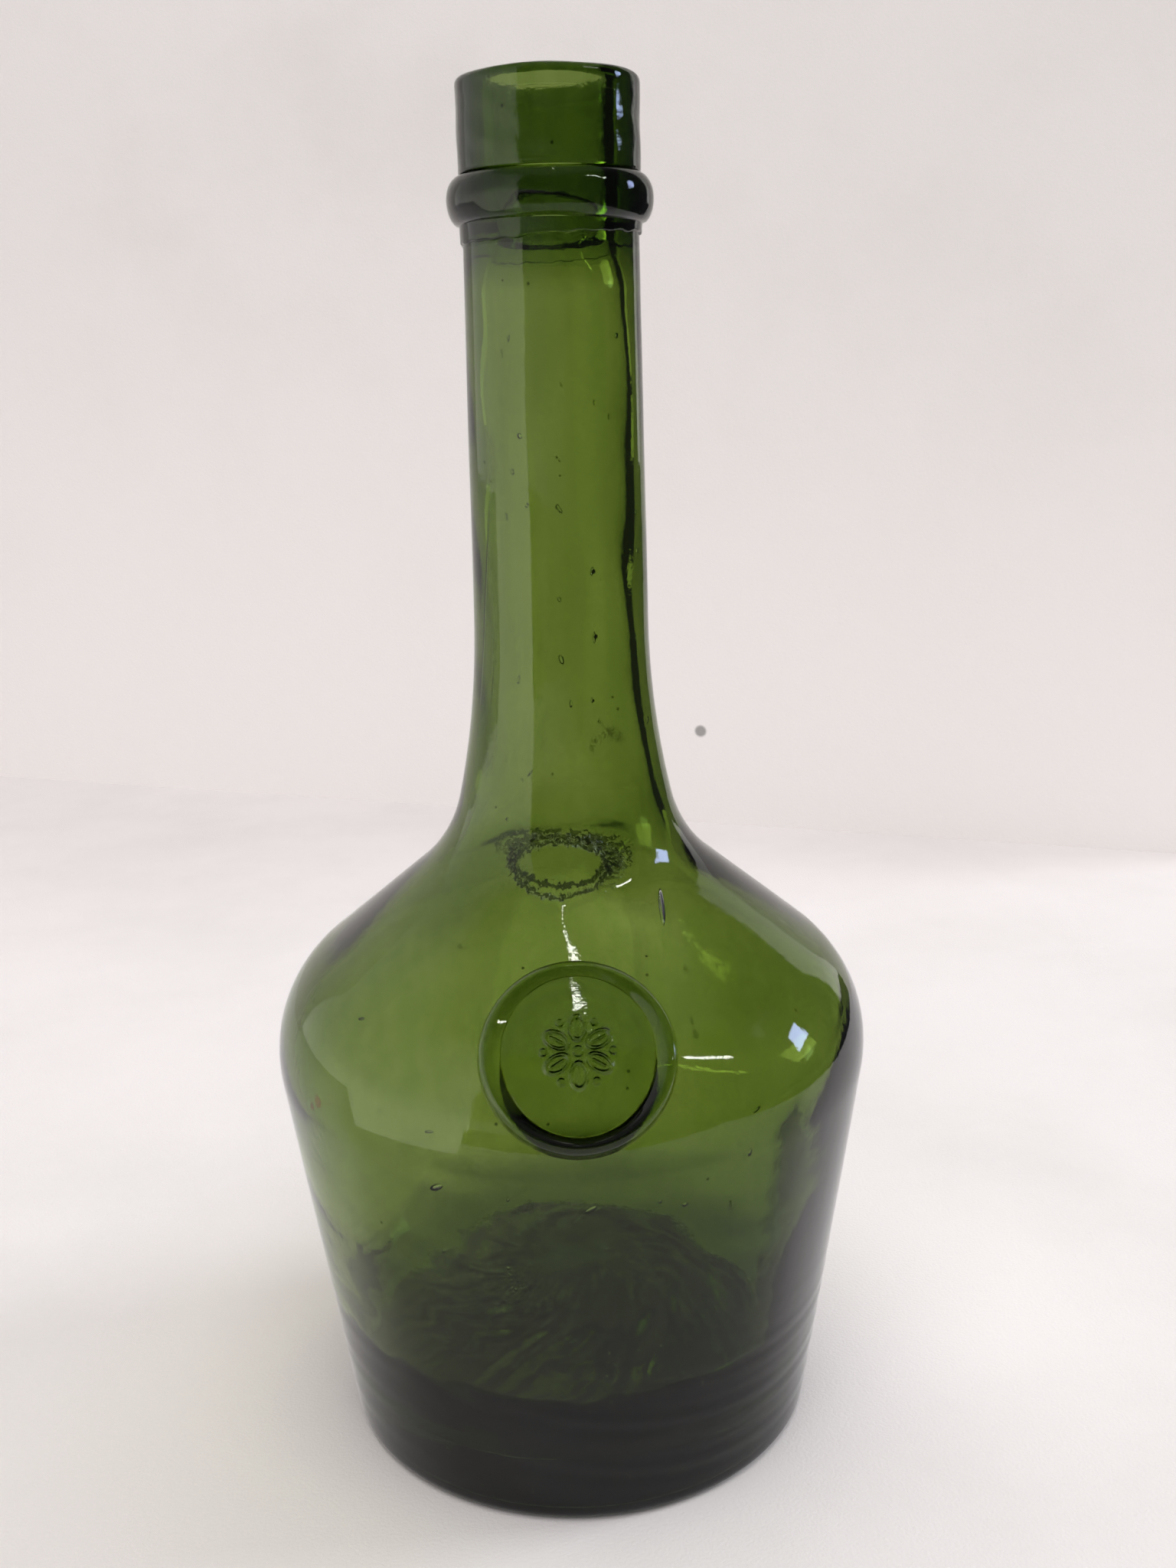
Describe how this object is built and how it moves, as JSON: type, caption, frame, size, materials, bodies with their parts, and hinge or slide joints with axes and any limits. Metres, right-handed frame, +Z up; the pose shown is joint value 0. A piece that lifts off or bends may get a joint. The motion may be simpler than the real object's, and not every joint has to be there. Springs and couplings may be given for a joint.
{
  "type": "glass bottle",
  "caption": "Blown glass bottle with a long neck, wide rounded shoulder, tapering body, hollow base, laid-on lip and string ring, and a round glass seal on the shoulder.",
  "frame": {"origin": "middle of the foot, on the surface that the bottle stands on", "axes": "+Z up along the bottle's axis; -Y is the front, where the seal is; +X is to the right, seen from the front"},
  "size_m": [0.1156, 0.1185, 0.255],
  "materials": {
    "body_glass": "fire-polished, with seeds and faint mould ripples",
    "lip_glass": "fire-polished, thick and darker",
    "ring_glass": "fire-polished, thick and darker",
    "seal_glass": "pressed face with a smooth rolled rim"
  },
  "bodies": {
    "root": {"bottle_body": "body_glass", "lip_band": "lip_glass", "string_ring": "ring_glass", "applied_seal": "seal_glass"}
  },
  "joints": []
}
